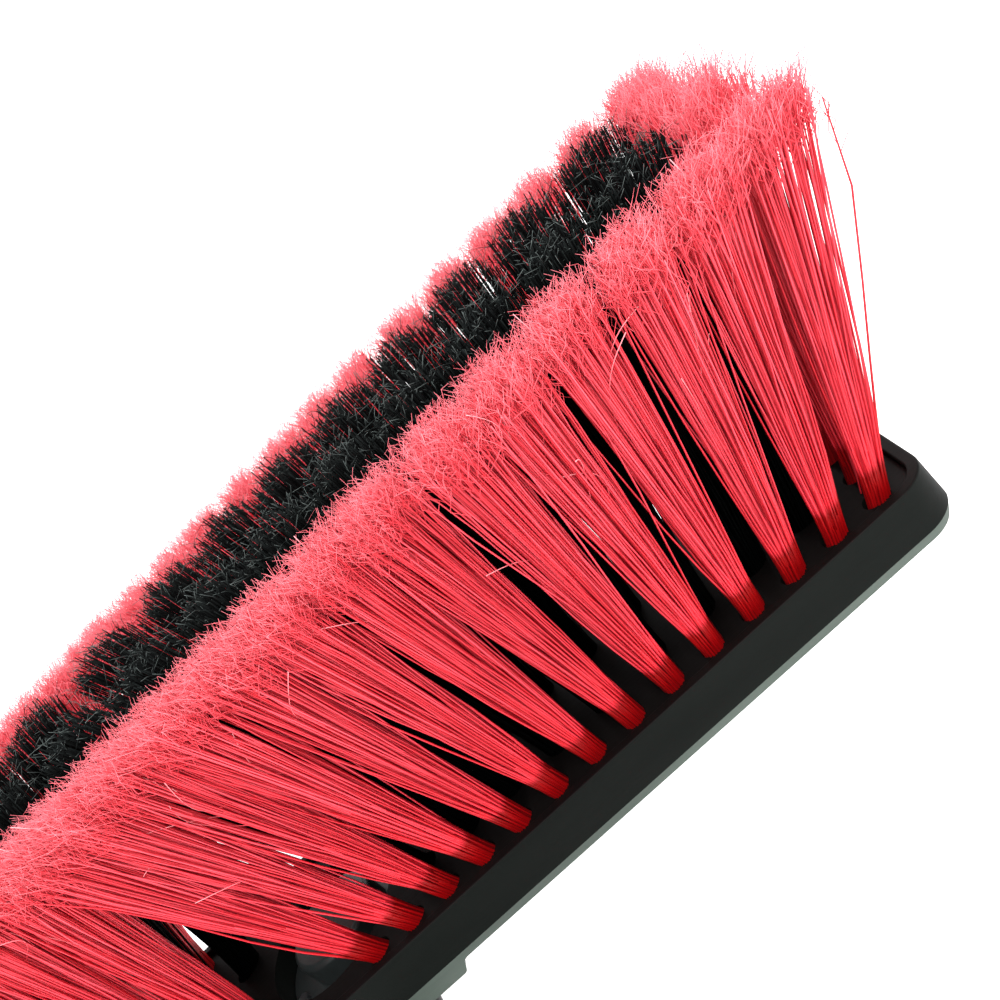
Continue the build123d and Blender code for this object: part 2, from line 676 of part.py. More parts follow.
with BuildPart() as clamp_lever:
    under = POLE_Z + LEVER_UNDER
    with BuildSketch(SIDE):
        with BuildLine():
            Polyline(
                (PIN_BACK, under),
                (LEVER_END - LEVER_TIP, under),
                (LEVER_END, under + LEVER_LIFT),
                (LEVER_END, under + LEVER_LIFT + LEVER_THICK / 2),
                (LEVER_END - LEVER_TIP, under + LEVER_THICK),
                (PIN_BACK, under + LEVER_THICK),
                close=True,
            )
        make_face()
    extrude(amount=LEVER_HALF, both=True)
    # Narrow root between the ears, wide paddle behind them.
    with BuildSketch(floor_plan()):
        root_length = LEVER_WIDE_FROM - PIN_BACK
        with Locations((PIN_BACK + root_length / 2, 0)):
            Rectangle(root_length, 2 * CAM_HALF)
        with Locations(((LEVER_WIDE_FROM + LEVER_END) / 2, 0)):
            RectangleRounded(LEVER_END - LEVER_WIDE_FROM, 2 * LEVER_HALF, LEVER_CORNER)
    extrude(amount=RIM_Z, mode=Mode.INTERSECT)
    with BuildSketch(SIDE):
        with Locations((PIN_BACK, PIN_Z - CAM_OFFSET)):
            Circle(CAM_R)
    extrude(amount=CAM_HALF, both=True)
    with BuildSketch(SIDE):
        with Locations((PIN_BACK, PIN_Z)):
            Circle(PIN_R + FIT)
    extrude(amount=LEVER_HALF, both=True, mode=Mode.SUBTRACT)
save(clamp_lever, "clamp_lever")

# ---------------------------------------------------------------- grip
with BuildPart() as foam_grip:
    with BuildSketch(across(GRIP_START)):
        Circle(POLE_Z)
    extrude(amount=GRIP_LENGTH)
    fillet(edges().filter_by(GeomType.CIRCLE), GRIP_ROUND)
    with BuildSketch(across(GRIP_START)):
        Circle(OUTER_TUBE_R + FIT)
    extrude(amount=GRIP_LENGTH, mode=Mode.SUBTRACT)
save(foam_grip, "foam_grip")


def grip_ring(start):
    """Plastic ring that closes one end of the grip."""
    with BuildPart() as ring:
        with BuildSketch(across(start)):
            Circle(GRIP_RING_R)
        extrude(amount=GRIP_RING_LENGTH)
        chamfer(edges().filter_by(GeomType.CIRCLE), GRIP_RING_EDGE)
        with BuildSketch(across(start)):
            Circle(OUTER_TUBE_R + FIT)
        extrude(amount=GRIP_RING_LENGTH, mode=Mode.SUBTRACT)
    return ring


save(grip_ring(GRIP_START - GRIP_RING_LENGTH - FIT), "grip_front_ring")
save(grip_ring(GRIP_START + GRIP_LENGTH + FIT), "grip_rear_ring")

# ---------------------------------------------------------------- scraper
PADDLE_UNDER = POLE_Z - PADDLE_THICK / 2
BLADE_SCREWS = Locations((BLADE_SCREW_BACK, BLADE_SCREW_X), (BLADE_SCREW_BACK, -BLADE_SCREW_X))

with BuildPart() as scraper_socket:
    with BuildSketch(across(SOCKET2_START)):
        Circle(SOCKET2_R)
    extrude(amount=PADDLE_NECK - SOCKET2_START)
    with BuildSketch(across(PADDLE_NECK)):
        Circle(SOCKET2_R)
    with BuildSketch(across(PADDLE_FLAT)):
        Ellipse(PADDLE_WIDTH / 2 - PADDLE_SLIM, PADDLE_THICK / 2 - LOOSE)
    loft()
    with BuildSketch(floor_plan(PADDLE_UNDER)):
        with Locations(((PADDLE_NECK + PADDLE_LAP + PADDLE_END) / 2, 0)):
            RectangleRounded(PADDLE_END - PADDLE_NECK - PADDLE_LAP, PADDLE_WIDTH, PADDLE_CORNER)
    extrude(amount=PADDLE_THICK)
    with BuildSketch(across(SOCKET2_START)):
        Circle(OUTER_TUBE_R + FIT)
    extrude(amount=OUTER_TUBE_END - SOCKET2_START + LOOSE, mode=Mode.SUBTRACT)
    with BuildSketch(floor_plan()):
        with Locations((HANG_BACK, 0)):
            Circle(HANG_R)
        with BLADE_SCREWS:
            Circle(BLADE_SCREW_R + FIT)
    extrude(amount=2 * POLE_Z, mode=Mode.SUBTRACT)
save(scraper_socket, "scraper_socket")


def blade_top(back):
    """Height of the blade's sloping upper face."""
    slope = (PADDLE_UNDER - BLADE_EDGE) / (EDGE_BACK - BLADE_BEND)
    return BLADE_EDGE + slope * (EDGE_BACK - back)


with BuildPart() as scraper_blade:
    with BuildSketch(SIDE):
        with BuildLine():
            Polyline(
                (BLADE_START, PADDLE_UNDER),
                (BLADE_BEND, PADDLE_UNDER),
                (EDGE_BACK, BLADE_EDGE),
                (EDGE_BACK, 0),
                (BLADE_BEND, PADDLE_UNDER - BLADE_THICK),
                (BLADE_START, PADDLE_UNDER - BLADE_THICK),
                close=True,
            )
        make_face()
    extrude(amount=BLADE_EDGE_WIDTH / 2, both=True)
    # Ice ridges across the upper face.
    for k in range(RIDGES):
        with BuildSketch(SIDE.offset((k - (RIDGES - 1) / 2) * RIDGE_PITCH)):
            with BuildLine():
                Polyline(
                    (RIDGE_START, blade_top(RIDGE_START) - BLADE_EDGE),
                    (RIDGE_END, blade_top(RIDGE_END) - BLADE_EDGE),
                    (RIDGE_END - RIDGE_RAMP, blade_top(RIDGE_END - RIDGE_RAMP) + RIDGE_HEIGHT),
                    (RIDGE_START + RIDGE_RAMP, blade_top(RIDGE_START + RIDGE_RAMP) + RIDGE_HEIGHT / 2),
                    close=True,
                )
            make_face()
        extrude(amount=RIDGE_WIDTH / 2, both=True)
    # Outline from above: narrow at the paddle, wide at the edge.
    with BuildSketch(floor_plan()):
        with BuildLine():
            Polyline(
                (BLADE_START, -PADDLE_WIDTH / 2),
                (BLADE_BEND, -PADDLE_WIDTH / 2),
                (EDGE_BACK - BLADE_SHOULDER, -BLADE_EDGE_WIDTH / 2),
                (EDGE_BACK, -BLADE_EDGE_WIDTH / 2),
                (EDGE_BACK, BLADE_EDGE_WIDTH / 2),
                (EDGE_BACK - BLADE_SHOULDER, BLADE_EDGE_WIDTH / 2),
                (BLADE_BEND, PADDLE_WIDTH / 2),
                (BLADE_START, PADDLE_WIDTH / 2),
                close=True,
            )
        make_face()
    extrude(amount=RIM_Z, mode=Mode.INTERSECT)
    with BuildSketch(floor_plan()):
        with Locations((HANG_BACK, 0)):
            Circle(HANG_R + LOOSE)
        with BLADE_SCREWS:
            Circle(BLADE_SCREW_R + FIT)
    extrude(amount=RIM_Z, mode=Mode.SUBTRACT)
save(scraper_blade, "scraper_blade")

with BuildPart() as scraper_screws:
    with BuildSketch(floor_plan(POLE_Z + PADDLE_THICK / 2)):
        with BLADE_SCREWS:
            Circle(BLADE_SCREW_HEAD_R)
    extrude(amount=BLADE_SCREW_HEAD)
    with BuildSketch(floor_plan(POLE_Z + PADDLE_THICK / 2)):
        with BLADE_SCREWS:
            Circle(BLADE_SCREW_R)
    extrude(amount=-PADDLE_THICK - BLADE_THICK + LOOSE)
save(scraper_screws, "scraper_screws")
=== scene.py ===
"""Looks of the telescopic snow brush: filament tufts, moulded plastics, tubes, foam grip and scraper."""
import json
import math

import bpy
import numpy as np
from mathutils import Matrix, Vector


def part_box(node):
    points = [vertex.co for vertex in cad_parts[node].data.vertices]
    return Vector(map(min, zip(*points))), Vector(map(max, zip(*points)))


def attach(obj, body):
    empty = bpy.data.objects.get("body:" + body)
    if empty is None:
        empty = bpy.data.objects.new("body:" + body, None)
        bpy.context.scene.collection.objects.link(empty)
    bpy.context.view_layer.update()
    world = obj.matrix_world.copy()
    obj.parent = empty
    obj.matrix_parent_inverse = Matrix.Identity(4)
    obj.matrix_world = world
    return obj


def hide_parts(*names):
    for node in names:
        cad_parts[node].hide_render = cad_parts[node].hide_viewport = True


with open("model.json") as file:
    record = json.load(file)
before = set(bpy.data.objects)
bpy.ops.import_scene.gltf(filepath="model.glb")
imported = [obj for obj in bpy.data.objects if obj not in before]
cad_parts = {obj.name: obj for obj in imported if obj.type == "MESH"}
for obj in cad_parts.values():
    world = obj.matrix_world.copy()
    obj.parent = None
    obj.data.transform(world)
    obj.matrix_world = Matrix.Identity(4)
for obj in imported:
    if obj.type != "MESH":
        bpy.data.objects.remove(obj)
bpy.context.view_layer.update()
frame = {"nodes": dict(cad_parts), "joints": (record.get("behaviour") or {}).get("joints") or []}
nodes = frame["nodes"]

MM = 0.001
pivot = next(j for j in frame["joints"] if j["name"] == "head_pivot")["pos_m"]
HUB = np.array(pivot)  # pivot axis, at the height of the block's rim

# Brush head, in millimetres from the pivot axis and the rim, as in the CAD model.
RECESS = 1.5
TUFT_TOP = 69.0
OUTER_COUNT, OUTER_PITCH, OUTER_FIRST, OUTER_Y, OUTER_TIP_Y = 14, 9.2, 13.2, 19.0, 34.0
END_X, END_PITCH, END_TIP_X, END_TIP_PITCH = 134.0, 9.5, 154.0, 17.0
INNER_COUNT, INNER_PITCH, INNER_FIRST, INNER_Y, INNER_TIP_Y = 9, 12.0, 26.0, 8.5, 13.0
LEAN_AT_PIVOT, LEAN_RATE, LEAN_GROWTH = -12.6, 0.115, 0.0011
FILAMENT_R = 0.2
FOOT_DEPTH = 2.5  # feet of the filaments below the floor of the recess
REACH_ALONG = 160.5  # furthest that a filament reaches along the head
HAIR_REACH_ALONG = REACH_ALONG + 3.0  # furthest that a split tip reaches
TOP_MOST = TUFT_TOP + 1.5  # no filament is taller


# ---------------------------------------------------------------- node materials
def linear(r, g, b):
    """Linear colour of an 8-bit screen colour."""
    def one(v):
        v /= 255.0
        return v / 12.92 if v <= 0.04045 else ((v + 0.055) / 1.055) ** 2.4
    return (one(r), one(g), one(b), 1.0)


class Shader:
    """A Principled material with short helpers for its nodes."""

    def __init__(self, name, roughness=0.5, metallic=0.0, **sockets):
        self.mat = bpy.data.materials.new(name)
        self.mat.use_nodes = True
        self.tree = self.mat.node_tree
        self.bsdf = self.tree.nodes["Principled BSDF"]
        self.bsdf.inputs["Roughness"].default_value = roughness
        self.bsdf.inputs["Metallic"].default_value = metallic
        for socket, value in sockets.items():
            self.bsdf.inputs[socket.replace("_", " ")].default_value = value
        self.coordinates = None

    def node(self, kind, **settings):
        made = self.tree.nodes.new(kind)
        for key, value in settings.items():
            setattr(made, key, value)
        return made

    def link(self, source, target):
        self.tree.links.new(source, target)

    def place(self, scale=(1, 1, 1)):
        """Object coordinates, stretched by scale."""
        if self.coordinates is None:
            self.coordinates = self.node("ShaderNodeTexCoord")
        mapping = self.node("ShaderNodeMapping")
        mapping.inputs["Scale"].default_value = scale
        self.link(self.coordinates.outputs["Object"], mapping.inputs["Vector"])
        return mapping.outputs["Vector"]

    def noise(self, scale, detail=4.0, rough=0.5, stretch=(1, 1, 1)):
        made = self.node("ShaderNodeTexNoise")
        made.inputs["Scale"].default_value = scale
        made.inputs["Detail"].default_value = detail
        made.inputs["Roughness"].default_value = rough
        self.link(self.place(stretch), made.inputs["Vector"])
        return made.outputs["Fac"]

    def attribute(self, name):
        return self.node("ShaderNodeAttribute", attribute_name=name).outputs["Fac"]

    def ramp(self, factor, stops):
        made = self.node("ShaderNodeValToRGB")
        elements = made.color_ramp.elements
        while len(elements) < len(stops):
            elements.new(0.5)
        for element, (position, colour) in zip(elements, stops):
            element.position = position
            element.color = colour
        self.link(factor, made.inputs["Fac"])
        return made.outputs["Color"]

    def spread(self, factor, low, high):
        """The factor remapped from 0..1 to low..high."""
        made = self.node("ShaderNodeMapRange")
        made.inputs["To Min"].default_value = low
        made.inputs["To Max"].default_value = high
        self.link(factor, made.inputs["Value"])
        return made.outputs["Result"]

    def spread_between(self, value, start, end):
        """0 where the value is at start, 1 where it is at end."""
        made = self.node("ShaderNodeMapRange")
        made.inputs["From Min"].default_value = start
        made.inputs["From Max"].default_value = end
        self.link(value, made.inputs["Value"])
        return made.outputs["Result"]

    def mix(self, factor, one, two, blend="MIX"):
        made = self.node("ShaderNodeMix", data_type="RGBA", blend_type=blend)
        for value, socket in ((factor, "Factor"), (one, "A"), (two, "B")):
            target = [s for s in made.inputs if s.name == socket and s.enabled][0]
            if hasattr(value, "is_linked"):
                self.link(value, target)
            else:
                target.default_value = value
        return [s for s in made.outputs if s.enabled][0]

    def colour(self, socket):
        self.link(socket, self.bsdf.inputs["Base Color"])

    def rough(self, socket):
        self.link(socket, self.bsdf.inputs["Roughness"])

    def bump(self, height, strength=0.3, distance=0.0003):
        made = self.node("ShaderNodeBump")
        made.inputs["Strength"].default_value = strength
        made.inputs["Distance"].default_value = distance
        self.link(height, made.inputs["Height"])
        self.link(made.outputs["Normal"], self.bsdf.inputs["Normal"])


def filament_material(name, stops, dark, light, roughness, **sockets):
    """Nylon filament: a ramp from root to split tip, and a tone of its own for each filament."""
    s = Shader(name, roughness=roughness, **sockets)
    base = s.ramp(s.attribute("along"), stops)
    tone = s.ramp(s.attribute("tone"), ((0.0, dark), (1.0, light)))
    s.colour(s.mix(1.0, base, tone, "MULTIPLY"))
    return s.mat


def moulded_material(name, dark, light, roughness, grain=(1, 1, 1), strength=0.25, gloss_spread=0.12):
    """Moulded plastic: faint cloudy colour, fine grain, and handling marks in the gloss."""
    s = Shader(name, roughness=roughness)
    cloud = s.noise(60, 6, 0.6, grain)
    s.colour(s.ramp(cloud, ((0.3, dark), (0.75, light))))
    s.rough(s.spread(s.noise(180, 5, 0.7, grain), roughness - gloss_spread, roughness + gloss_spread))
    s.bump(s.noise(1400, 3, 0.6, grain), strength, 0.00012)
    return s.mat


RED = filament_material(
    "red_filament",
    (
        # The dark red at the roots, up to 0.122 on the ramp, is painted shade at the base of the tufts.
        (0.0, linear(134, 0, 1)),
        (0.122, linear(142, 0, 2)),
        (0.146, linear(216, 48, 62)),
        (0.6, linear(230, 78, 92)),
        (0.9, linear(236, 88, 100)),
        (1.0, linear(252, 140, 150)),
    ),
    (0.72, 0.3, 0.34, 1),
    (1, 1, 1, 1),
    0.42,
    # A faint red glow is painted light, standing in for light that passes through the nylon into the shade of
    # the tufts.
    Emission_Color=(0.8, 0.02, 0.04, 1),
    Emission_Strength=0.03,
    Specular_IOR_Level=0.22,
)
PALE_RED = filament_material(
    "pale_red_filament",
    (
        (0.0, linear(206, 34, 46)),
        (0.3, linear(232, 92, 104)),
        (0.7, linear(244, 132, 140)),
        (1.0, linear(250, 168, 174)),
    ),
    (0.8, 0.7, 0.7, 1),
    (1, 1, 1, 1),
    0.4,
)
BLACK = filament_material(
    "black_filament",
    (
        (0.0, linear(3, 4, 4)),
        (0.9, linear(4, 5, 5)),
        (0.96, linear(36, 42, 41)),
        (1.0, linear(124, 134, 131)),
    ),
    (0.3, 0.3, 0.3, 1),
    (1, 1, 1, 1),
    0.6,
    Specular_IOR_Level=0.03,
)


def block_material():
    """Matt moulded black, drawn out along the head, with painted floor light on faces that look down and
    painted shade on faces that look up.
    """
    s = Shader("moulded_black", roughness=0.55, Specular_IOR_Level=0.06)
    drawn_out = (0.15, 1, 1)
    streaks = s.noise(60, 6, 0.6, drawn_out)
    side = s.ramp(streaks, ((0.3, linear(8, 11, 9)), (0.75, linear(16, 19, 17))))
    # Paler grey on faces that look down is painted light: the glow of the bright floor reflected in the
    # underside.
    painted_floor_light = s.ramp(streaks, ((0.3, linear(66, 75, 69)), (0.75, linear(86, 96, 89))))
    # Darker, reddish colour on faces that look up is painted shade from the tufts over the rim and the floor
    # of the recess.
    top = s.ramp(streaks, ((0.3, linear(8, 6, 6)), (0.75, linear(15, 12, 11))))
    facing = s.node("ShaderNodeSeparateXYZ")
    s.link(s.node("ShaderNodeTexCoord").outputs["Normal"], facing.inputs["Vector"])
    black_to_white = ((0.0, (0, 0, 0, 1)), (1.0, (1, 1, 1, 1)))
    # Masks by facing: painted floor light on faces that look down, painted tuft shade on faces that look up.
    down = s.ramp(s.spread_between(facing.outputs["Z"], -0.2, -0.42), black_to_white)
    up = s.ramp(s.spread_between(facing.outputs["Z"], 0.3, 0.8), black_to_white)
    s.colour(s.mix(up, s.mix(down, side, painted_floor_light), top))
    s.rough(s.spread(s.noise(180, 5, 0.7, drawn_out), 0.45, 0.68))
    s.bump(s.noise(1400, 3, 0.6, drawn_out), 0.3, 0.00012)
    return s.mat


BLOCK = block_material()
PIVOT = moulded_material("moulded_grey_black", linear(22, 26, 26), linear(38, 43, 43), 0.4)
RED_PLASTIC = moulded_material("moulded_red", linear(128, 4, 8), linear(158, 12, 17), 0.36, strength=0.2)
ACETAL = moulded_material("natural_acetal", linear(205, 204, 196), linear(226, 225, 218), 0.42, strength=0.1)


def drawn_metal(name, dark, light, roughness, metallic, grain):
    """Metal or painted tube with fine lines along its length."""
    s = Shader(name, roughness=roughness, metallic=metallic)
    s.colour(s.ramp(s.noise(90, 5, 0.6, grain), ((0.3, dark), (0.7, light))))
    s.rough(s.spread(s.noise(700, 4, 0.7, grain), roughness - 0.08, roughness + 0.1))
    s.bump(s.noise(2600, 2, 0.5, grain), 0.15, 0.00005)
    return s.mat


ALUMINIUM = drawn_metal(
    "drawn_aluminium", linear(118, 121, 125), linear(158, 161, 165), 0.34, 1.0, (1, 0.03, 1)
)
PAINTED = drawn_metal("painted_tube", linear(26, 27, 28), linear(40, 41, 42), 0.36, 0.0, (1, 0.2, 1))
STEEL = drawn_metal("zinc_steel", linear(122, 124, 128), linear(172, 174, 178), 0.34, 1.0, (1, 1, 1))


def foam_material():
    """Closed-cell foam: pores over a soft mottled black."""
    s = Shader("closed_cell_foam", roughness=0.88)
    s.colour(s.ramp(s.noise(160, 6, 0.65), ((0.3, linear(22, 22, 23)), (0.75, linear(35, 35, 36)))))
    pores = s.node("ShaderNodeTexVoronoi", feature="F1")
    pores.inputs["Scale"].default_value = 1100
    s.link(s.place(), pores.inputs["Vector"])
    s.bump(pores.outputs["Distance"], 0.6, 0.0003)
    return s.mat


FOAM = foam_material()

CAD_LOOKS = {
    "brush_block": BLOCK,
    "pivot_cap": PIVOT,
    "neck_arm": PIVOT,
    "clamp_collar": PIVOT,
    "grip_front_ring": PIVOT,
    "grip_rear_ring": PIVOT,
    "scraper_socket": PIVOT,
    "release_button": RED_PLASTIC,
    "clamp_lever": RED_PLASTIC,
    "scraper_blade": RED_PLASTIC,
    "lock_gear": ACETAL,
    "tube_end_plug": ACETAL,
    "guide_bushing": ACETAL,
    "clamp_shoe": ACETAL,
    "inner_tube": ALUMINIUM,
    "outer_tube": PAINTED,
}
for name, node in nodes.items():
    look = CAD_LOOKS.get(name, STEEL)
    for index in range(len(node.material_slots)):
        node.material_slots[index].material = look


# ---------------------------------------------------------------- filament meshes
def tube_mesh(name, paths, radii, along, tone, material, sides=3):
    """One mesh of many thin tubes.

    paths is (count, sections, 3) in metres; radii, along and tone hold one value for each section.
    """
    count, sections, _ = paths.shape
    tangent = np.gradient(paths, axis=1)
    tangent /= np.linalg.norm(tangent, axis=2, keepdims=True) + 1e-12
    reference = np.array([0.31, 0.93, 0.17])
    side = np.cross(tangent, reference)
    side /= np.linalg.norm(side, axis=2, keepdims=True) + 1e-12
    other = np.cross(tangent, side)
    angle = np.arange(sides) * 2 * math.pi / sides
    ring = (
        side[:, :, None, :] * np.cos(angle)[None, None, :, None]
        + other[:, :, None, :] * np.sin(angle)[None, None, :, None]
    )
    verts = paths[:, :, None, :] + ring * radii[:, :, None, None]
    index = np.arange(count * sections * sides).reshape(count, sections, sides)
    turned = np.roll(index, -1, axis=2)
    quads = np.stack([index[:, :-1], turned[:, :-1], turned[:, 1:], index[:, 1:]], axis=-1).reshape(-1, 4)
    caps = index[:, -1, :]
    mesh = bpy.data.meshes.new(name)
    mesh.vertices.add(index.size)
    mesh.vertices.foreach_set("co", verts.astype(np.float32).ravel())
    corners = np.concatenate([quads.ravel(), caps.ravel()])
    mesh.loops.add(len(corners))
    mesh.loops.foreach_set("vertex_index", corners.astype(np.int32))
    starts = np.concatenate([np.arange(len(quads)) * 4, len(quads) * 4 + np.arange(len(caps)) * sides])
    mesh.polygons.add(len(starts))
    mesh.polygons.foreach_set("loop_start", starts.astype(np.int32))
    mesh.polygons.foreach_set("use_smooth", np.ones(len(starts), bool))
    mesh.update(calc_edges=True)
    for label, values in (("along", along), ("tone", tone)):
        layer = mesh.attributes.new(label, "FLOAT", "POINT")
        layer.data.foreach_set("value", np.repeat(values, sides).astype(np.float32))
    mesh.materials.append(material)
    made = bpy.data.objects.new(name, mesh)
    bpy.context.scene.collection.objects.link(made)
    return made


class Tufts:
    """Filaments and split tips of a group of tufts."""

    STEPS = np.array([0.0, 0.06, 0.14, 0.26, 0.42, 0.6, 0.8, 1.0])
    TIGHT = 0.09  # share of its height over which a bundle stays as tight as in its hole
    THICKNESS = np.array([1.7, 1.7, 1.6, 1.3, 1.1, 1.0, 0.95, 0.65])  # in filament radii, at each step
    SHAFT_ALONG = 0.93  # share of the colour ramp on a shaft
    # Scatter of the tips, in millimetres, apart from the share of its place that each keeps to.
    UNEVEN, DRIFT, TUFT_DRIFT = 0.14, 0.6, 0.5
    STRAY_DRIFT, STRAY_MOST = 3.0, 3.5
    DROP, RAGGED, CROWN = 2.0, 0.9, 0.04
    BOW, WAVER = 0.4, 0.25
    # Split tips: sections, radii in millimetres, place on the colour ramp, and bends as shares of the length.
    HAIR_STEPS = np.array([0.0, 0.25, 0.5, 0.75, 1.0])
    HAIR_R = np.array([0.075, 0.07, 0.06, 0.045, 0.03])
    HAIR_ALONG = np.array([0.82, 0.88, 0.93, 0.97, 1.0])
    HAIR_SPLAY, HAIR_CURL, HAIR_WAVE = 0.1, 0.22, 0.11
    HAIR_TOP, HAIR_FOLD = 1.2, 0.4

    def __init__(self, seed, per_tuft, foot_r, tip_r, stray=0.05, lower=0.0):
        self.rng = np.random.default_rng(seed)
        self.per_tuft = per_tuft
        self.foot_r = foot_r
        self.tip_r = tip_r
        self.stray = stray
        self.lower = lower
        self.paths = []
        self.tones = []

    def grow(self, foot, tip):
        """Adds one tuft from its foot (x, y) to its tip (x, y), in millimetres about the pivot."""
        rng, n = self.rng, self.per_tuft
        k = np.arange(n)
        share = np.sqrt((k + 0.5) / n)
        turn = k * math.pi * (3 - math.sqrt(5)) + rng.uniform(0, 6.28)
        around = np.stack([np.cos(turn), np.sin(turn)], -1)
        at_foot = around * (share * (self.foot_r - FILAMENT_R))[:, None]
        wide = share * self.tip_r * rng.normal(1.0, self.UNEVEN, n) + 0.02
        at_tip = around * wide[:, None] + rng.normal(0, self.DRIFT, (n, 2))
        at_tip = at_tip + rng.normal(0, self.TUFT_DRIFT, 2)
        stray = rng.random(n) < self.stray
        astray = rng.normal(0, self.STRAY_DRIFT, (int(stray.sum()), 2))
        at_tip[stray] += np.clip(astray, -self.STRAY_MOST, self.STRAY_MOST)
        top = TUFT_TOP - self.DROP - self.lower + rng.normal(0, self.RAGGED, n)
        top = np.minimum(top - self.CROWN * (at_tip**2).sum(1), TOP_MOST)
        t = self.STEPS[None, :, None]
        spread = np.clip(t - self.TIGHT, 0, 1) / (1 - self.TIGHT)
        axis = np.array(foot) + (np.array(tip) - np.array(foot)) * t
        flat = axis + at_foot[:, None, :] + (at_tip - at_foot)[:, None, :] * spread
        low = -RECESS - FOOT_DEPTH
        height = low + (top[:, None, None] - low) * t
        flat = flat + rng.normal(0, self.BOW, (n, 1, 2)) * np.sin(math.pi * spread)
        flat = flat + rng.normal(0, self.WAVER, (n, 1, 2)) * np.sin(2 * math.pi * spread)
        flat[:, :, 0] = np.clip(flat[:, :, 0], -REACH_ALONG, REACH_ALONG)
        self.paths.append(np.concatenate([flat, np.broadcast_to(height, flat[:, :, :1].shape)], 2))
        self.tones.append(rng.random(n))

    def build(self, name, material, tip_hairs, hair_length, body, replaced, parts=1, frizz=1.0):
        """Makes the filaments and their split tips, in so many parts, and lets them ride on the body."""
        rng = self.rng
        paths = np.concatenate(self.paths)
        tones = np.concatenate(self.tones)
        n, sections, _ = paths.shape
        shafts = tube_mesh(
            name + "_filaments",
            HUB + paths * MM,
            np.broadcast_to(self.THICKNESS, (n, sections)) * FILAMENT_R * MM,
            np.broadcast_to(self.STEPS * self.SHAFT_ALONG, (n, sections)),
            np.broadcast_to(tones[:, None], (n, sections)),
            material,
        )
        pieces = [shafts]
        # Split tips are fine curling hairs that leave the upper part of each filament.
        for part in range(parts):
            chosen = np.arange(n) % parts == part
            source = np.repeat(np.arange(n)[chosen], tip_hairs)
            m = len(source)
            end, before = paths[source, -1], paths[source, -2]
            heading = end - before
            heading /= np.linalg.norm(heading, axis=1, keepdims=True)
            length = hair_length * rng.uniform(0.4, 1.5, m)
            start = end - heading * (length * rng.uniform(0.5, 0.95, m))[:, None]
            splay = rng.normal(0, 1, (m, 3)) * np.array([1, 1, 0.3])
            curl = rng.normal(0, 1, (m, 3)) * np.array([1, 1, 0.7])
            wave = rng.normal(0, 1, (m, 3)) * np.array([1, 1, 0.4])
            t = self.HAIR_STEPS[None, :, None]
            span = length[:, None, None]
            hair = start[:, None, :] + heading[:, None, :] * span * t
            hair = hair + splay[:, None, :] * self.HAIR_SPLAY * frizz * span * t
            hair = hair + curl[:, None, :] * self.HAIR_CURL * frizz * span * t * t
            hair = hair + wave[:, None, :] * self.HAIR_WAVE * span * np.sin(2 * math.pi * t)
            top = TUFT_TOP + self.HAIR_TOP - max(self.lower, 0.0)
            over = hair[:, :, 2] > top
            hair[:, :, 2] = np.where(over, top - self.HAIR_FOLD * (hair[:, :, 2] - top), hair[:, :, 2])
            hair[:, :, 0] = np.clip(hair[:, :, 0], -HAIR_REACH_ALONG, HAIR_REACH_ALONG)
            hair_tone = np.clip(tones[source] * 0.5 + rng.random(m) * 0.6, 0, 1)
            number = f"_{part + 1}" if parts > 1 else ""
            pieces.append(tube_mesh(
                name + "_split_tips" + number,
                HUB + hair * MM,
                np.broadcast_to(self.HAIR_R, (m, 5)) * MM,
                np.broadcast_to(self.HAIR_ALONG, (m, 5)),
                np.broadcast_to(hair_tone[:, None], (m, 5)),
                material,
            ))
        for piece in pieces:
            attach(piece, body)
        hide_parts(*replaced)


def tip_along(foot):
    """Where along the head a tip stands: inwards of its foot near the pivot, outwards near the end."""
    return max(3.0, foot + LEAN_AT_PIVOT + LEAN_RATE * foot + LEAN_GROWTH * foot * foot)


def long_row(tufts, first, pitch, count, y, tip_y, closing=0.0):
    """Grows a row of tufts on both sides of the pivot; closing leans the first ones over the pivot."""
    for k in range(count):
        foot = first + k * pitch
        tip = tip_along(foot) - closing * math.exp(-k)
        for way in (1, -1):
            tufts.grow((way * foot, y), (way * tip, tip_y))


for side, seed, name, lower, splay in ((-1, 11, "near_row", 2.4, 0.0), (1, 12, "far_row", 1.4, 2.0)):
    row = Tufts(seed, 112, 2.3, 5.8, lower=lower)
    long_row(row, OUTER_FIRST, OUTER_PITCH, OUTER_COUNT, side * OUTER_Y, side * (OUTER_TIP_Y + splay))
    row.build(name, RED, 6, 7.0, "head", [name + "_tufts"], parts=3)

ends = Tufts(13, 104, 2.3, 6.2, stray=0.02)
for way in (1, -1):
    for k in (-1, 0, 1):
        ends.grow((way * END_X, k * END_PITCH), (way * END_TIP_X, k * END_TIP_PITCH))
ends.build("end", RED, 4, 9.5, "head", ["end_tufts"])

inner_splay = 1.5
for side, seed, name in ((-1, 14, "inner_near"), (1, 15, "inner_far")):
    inner = Tufts(seed, 160, 3.0, 8.4, stray=0.01, lower=-1.4)
    tip_y = side * (INNER_TIP_Y + inner_splay)
    long_row(inner, INNER_FIRST, INNER_PITCH, INNER_COUNT, side * INNER_Y, tip_y, closing=7.0)
    inner.build(name, BLACK, 1, 2.0, "head", [name + "_tufts"], frizz=4.0)


